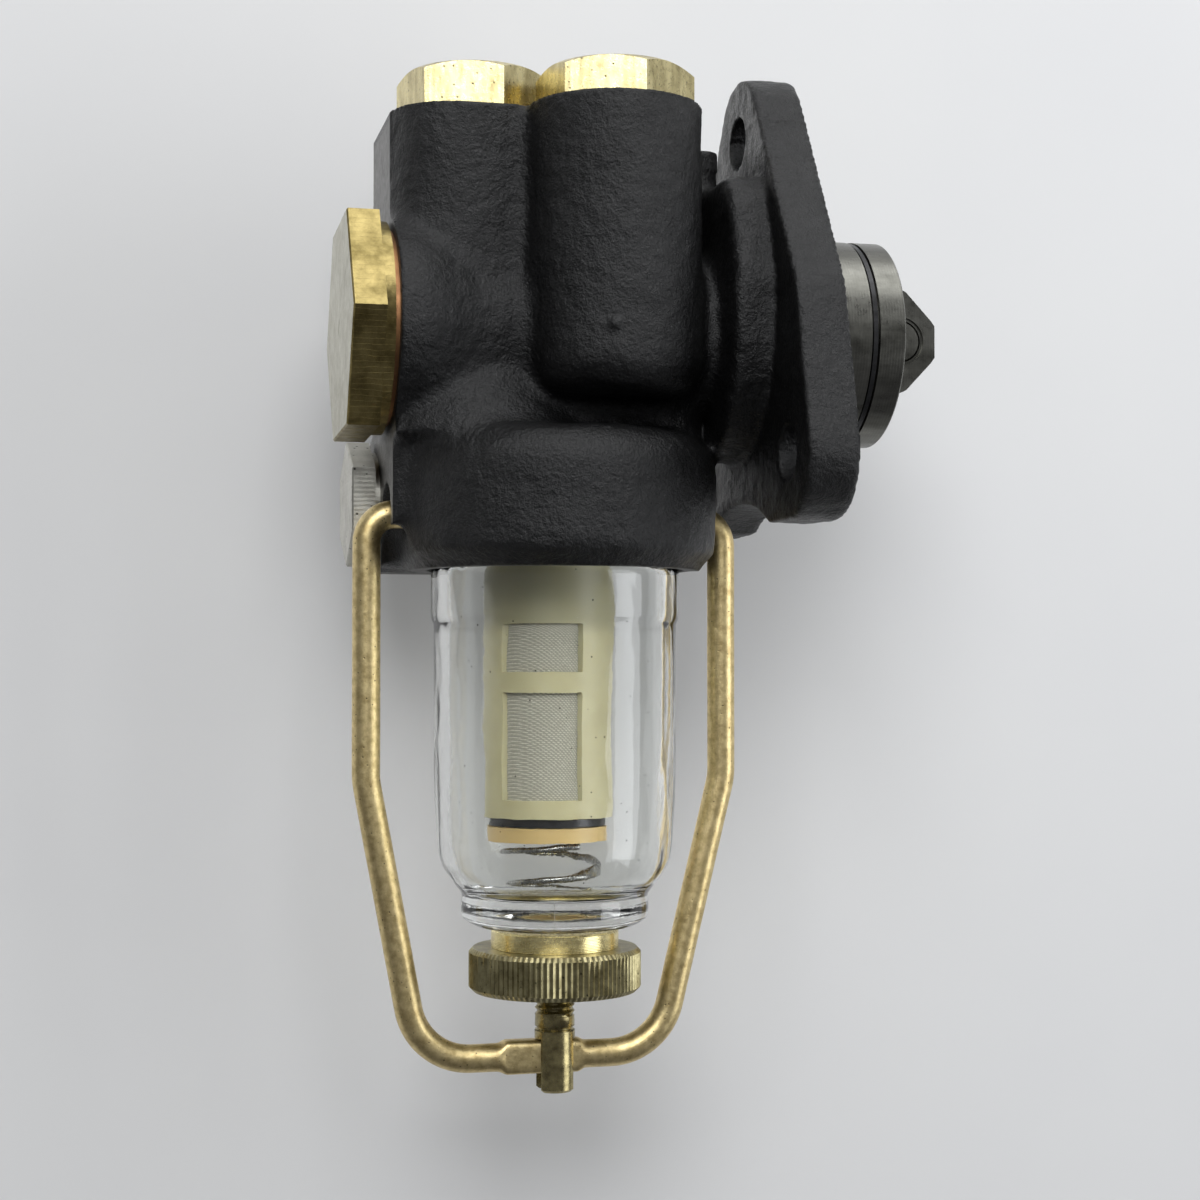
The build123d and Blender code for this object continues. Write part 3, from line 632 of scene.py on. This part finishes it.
def knurled_nut():
    """The nut with a straight knurl of 96 ridges round its rim."""
    low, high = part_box("knurled_nut")
    rim = (high.x - low.x) / 2 / MM
    low_z, high_z = low.z / MM, high.z / MM
    clearance = 0.03  # between the nut's top and the collar
    bore, ridges, ridge_depth, bevel = 4.05, 96, 0.36, 0.9
    profile = [
        (bore, high_z - clearance), (rim - 0.9, high_z - clearance), (rim - 0.04, high_z - bevel),
        (rim - 0.04, (low_z + high_z) / 2), (rim - 0.04, low_z + bevel), (rim - 1.0, low_z),
        (bore, low_z)]
    knurled = (2, 3, 4)

    def knurl(angle, radius, z, index):
        if index not in knurled:
            return 0
        share = (angle / tau * ridges) % 1
        uneven = 0.03 * noise.noise(Vector((9 * cos(angle), 9 * sin(angle), z / 3)))
        return uneven - ridge_depth * abs(2 * share - 1) ** 0.8 - 0.04

    piece = lathe("nut_with_knurl", profile, ridges * 6)
    swell(piece, profile, knurl)
    sharpen(piece)
    paint(piece, "nut")
    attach(piece, "nut")
    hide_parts("knurled_nut")


knurled_nut()


# ---------------------------------------------------------------- stud with its thread

def threaded_stud():
    """The stud: a thread in its upper part, a relief groove, and the CAD fork below."""
    top_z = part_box("bail_stud")[1].z / MM
    pitch, crest, thread_depth, chamfer = 1.25, 3.97, 0.55, 0.8
    thread_end, cut_z = -134.6, -137.4
    around = 48
    shank = [(thread_end - 0.1, 3.9), (-134.9, 3.9), (-136.7, 3.95), (-136.9, 3.6), (-137.2, 3.6),
             (cut_z, 3.9)]
    thread = [(z, None) for z in np.arange(top_z, thread_end, -pitch / 6)]
    stations = thread + shank
    vertices = []
    for z, plain_radius in stations:
        for step in range(around):
            angle = tau * step / around
            radius = plain_radius
            if plain_radius is None:
                share = (z / pitch - angle / tau) % 1
                radius = crest - thread_depth * (1 - abs(2 * share - 1))
                radius -= 0.5 * max(0, z - top_z + chamfer)
            vertices.append((bowl_x + radius * cos(angle) * MM, radius * sin(angle) * MM, z * MM))
    faces = ring_faces(len(stations), around)
    faces.append(tuple(range(around)))
    piece = new_object("threaded_stud", vertices, faces)
    joined = bmesh.new()
    joined.from_mesh(nodes["bail_stud"].data)
    everything = joined.verts[:] + joined.edges[:] + joined.faces[:]
    bmesh.ops.bisect_plane(joined, geom=everything, plane_co=(0, 0, cut_z * MM),
                           plane_no=(0, 0, 1), clear_outer=True)
    joined.from_mesh(piece.data)
    joined.to_mesh(piece.data)
    joined.free()
    sharpen(piece)
    paint(piece, "stud")
    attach(piece, "bail")
    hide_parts("bail_stud")


threaded_stud()


# ---------------------------------------------------------------- bail

def rounded_path(corners, radii, spacing):
    """Points and tangents along straight runs joined by arcs, in the XZ plane, in millimetres."""
    points = [np.array(corners[0], float)]
    for before, corner, after, radius in zip(corners, corners[1:], corners[2:], radii):
        before, corner, after = (np.array(c, float) for c in (before, corner, after))
        come = (corner - before) / np.linalg.norm(corner - before)
        leave = (after - corner) / np.linalg.norm(after - corner)
        turn = np.arccos(np.clip(come @ leave, -1, 1))
        setback = radius * tan(turn / 2)
        start = corner - come * setback
        inward = leave - come * (come @ leave)
        inward /= np.linalg.norm(inward)
        centre = start + inward * radius
        points.append(start)
        steps = max(3, int(radius * turn / spacing))
        for step in range(1, steps + 1):
            angle = turn * step / steps
            points.append(centre - inward * radius * cos(angle) + come * radius * sin(angle))
    points.append(np.array(corners[-1], float))
    dense = [points[0]]
    for a, b in zip(points, points[1:]):
        pieces = max(1, int(np.linalg.norm(b - a) / spacing))
        dense += [a + (b - a) * step / pieces for step in range(1, pieces + 1)]
    dense = np.array(dense)
    tangents = np.gradient(dense, axis=0)
    tangents /= np.linalg.norm(tangents, axis=1)[:, None]
    return dense, tangents


def bail():
    """The wire bail: one bent wire, pressed flat with a short taper where the stud straddles it."""
    radius, flat_thick, flat_tall = 2.75, 2.3, 3.3
    left_x, right_x, knee_z, base_z = -85.5, -13.7, -88.0, -142.6
    hook_bend, knee_bend, foot_bend = 5.5, 15, 12.5
    flat_from_x, flat_to_x = -59.6, -42.0
    corners = [(-72.0, BAIL_PIVOT_Z), (left_x, BAIL_PIVOT_Z), (left_x, knee_z), (-75.2, base_z),
               (-26.8, base_z), (right_x, knee_z), (right_x, BAIL_PIVOT_Z), (-27.0, BAIL_PIVOT_Z)]
    bends = (hook_bend, knee_bend, foot_bend, foot_bend, knee_bend, hook_bend)
    path, tangents = rounded_path(corners, bends, 0.7)
    around = 32
    vertices = []
    for place, tangent in zip(path, tangents):
        across = np.array((-tangent[1], tangent[0]))
        flat = 0.0
        if place[1] < base_z + 1:
            flat = float(np.clip((place[0] - flat_from_x) / 1.9, 0, 1)
                         * np.clip((flat_to_x - place[0]) / 1.6, 0, 1))
            flat = flat * flat * (3 - 2 * flat)
        worn = 0.03 * noise.noise(Vector((place[0] / 6, place[1] / 6, 1.5)))
        half_thick = radius + (flat_thick - radius) * flat + worn
        half_tall = radius + (flat_tall - radius) * flat + worn
        power = 1 - 0.55 * flat
        for step in range(around):
            angle = tau * step / around
            c, s = cos(angle), sin(angle)
            y = -half_thick * abs(c) ** power * (1 if c >= 0 else -1)
            out = half_tall * abs(s) ** power * (1 if s >= 0 else -1)
            x, z = place + across * out
            vertices.append((x * MM, y * MM, z * MM))
    faces = ring_faces(len(path), around, flipped=True)
    faces.append(tuple(range(around))[::-1])
    faces.append(tuple((len(path) - 1) * around + step for step in range(around)))
    piece = new_object("bail_wire", vertices, faces)
    tidy = bmesh.new()
    tidy.from_mesh(piece.data)
    bmesh.ops.recalc_face_normals(tidy, faces=tidy.faces[:])
    tidy.to_mesh(piece.data)
    tidy.free()
    sharpen(piece, 50)
    paint(piece, "wire")
    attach(piece, "bail")
    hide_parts("bail")


bail()


# ---------------------------------------------------------------- backdrop, lights and camera

def backdrop():
    """A pale sheet behind the pump, as if it lay on a table; it isn't seen from behind."""
    gap, half = 12 * MM, 1.5
    y = housing_high.y + gap
    corners = [(-half, y, -half), (half, y, -half), (half, y, half), (-half, y, half)]
    sheet = new_object("backdrop", corners, [(0, 1, 2, 3)], smooth=False)
    finish = Finish("backdrop")
    finish.set(Roughness=0.9, Specular_IOR_Level=0.1)
    patches = finish.noise(90 * MM, 3.0)
    finish.colour(finish.ramp(patches, (0.3, 0.70), (0.7, (0.72, 0.72, 0.715))))
    clear = finish.node("ShaderNodeBsdfTransparent")
    share = finish.node("ShaderNodeMixShader")
    finish.link(finish.node("ShaderNodeNewGeometry").outputs["Backfacing"], share.inputs[0])
    finish.link(finish.shader.outputs[0], share.inputs[1])
    finish.link(clear.outputs[0], share.inputs[2])
    finish.link(share.outputs[0], finish.tree.nodes["Material Output"].inputs["Surface"])
    sheet.data.materials.append(finish.material)
    sheet.visible_shadow = False


backdrop()


def softbox(name, place, aim, width, height, power, colour=(1, 1, 1)):
    """A rectangular area light at a place in millimetres, aimed at another; it is width by height
    metres."""
    data = bpy.data.lights.new(name, "AREA")
    data.shape = "RECTANGLE"
    data.size, data.size_y = width, height
    data.energy = power
    data.color = colour
    lamp = bpy.data.objects.new(name, data)
    scene.collection.objects.link(lamp)
    lamp.location = Vector(place) * MM
    lamp.rotation_euler = (Vector(aim) * MM - lamp.location).to_track_quat("-Z", "Y").to_euler()


softbox("window", (-250, -900, 520), (-45, 0, -40), 0.7, 0.5, 7, (0.97, 0.98, 1.0))
softbox("ceiling", (120, -350, 900), (-45, 0, 0), 0.9, 0.7, 6, (0.98, 0.99, 1.0))
softbox("right_fill", (800, -500, 0), (-30, 0, -40), 0.5, 0.9, 4.5, (0.95, 0.97, 1.0))
softbox("back_left", (-500, 900, 300), (-45, 0, -40), 0.8, 0.6, 6)


def surroundings():
    """A plain room: pale above and at the sides, dimmer below."""
    world = bpy.data.worlds.new("room")
    scene.world = world
    world.use_nodes = True
    tree = world.node_tree
    background = tree.nodes["Background"]
    direction = tree.nodes.new("ShaderNodeTexCoord").outputs["Generated"]
    parts = tree.nodes.new("ShaderNodeSeparateXYZ")
    tree.links.new(direction, parts.inputs[0])
    ramp = tree.nodes.new("ShaderNodeValToRGB")
    below, above = ramp.color_ramp.elements
    below.color = (0.30, 0.30, 0.32, 1)
    above.color = (0.80, 0.81, 0.82, 1)
    halfway = tree.nodes.new("ShaderNodeMath")
    halfway.operation = "MULTIPLY_ADD"
    halfway.inputs[1].default_value = 0.5
    halfway.inputs[2].default_value = 0.5
    tree.links.new(parts.outputs["Z"], halfway.inputs[0])
    tree.links.new(halfway.outputs[0], ramp.inputs["Fac"])
    tree.links.new(ramp.outputs["Color"], background.inputs["Color"])
    background.inputs["Strength"].default_value = 0.36


surroundings()


def camera():
    """A camera a little below and left of square, 415 mm away."""
    data = bpy.data.cameras.new("camera")
    data.sensor_width = 36
    data.lens = 62.3
    data.clip_start = 0.01
    eye = Vector((-134.9, -403.2, -63.3)) * MM
    aim = Vector((-38.8, 0, -52.7)) * MM
    viewer = bpy.data.objects.new("camera", data)
    scene.collection.objects.link(viewer)
    viewer.location = eye
    viewer.rotation_euler = (aim - eye).to_track_quat("-Z", "Y").to_euler()
    scene.camera = viewer


camera()
scene.view_settings.view_transform = "Standard"
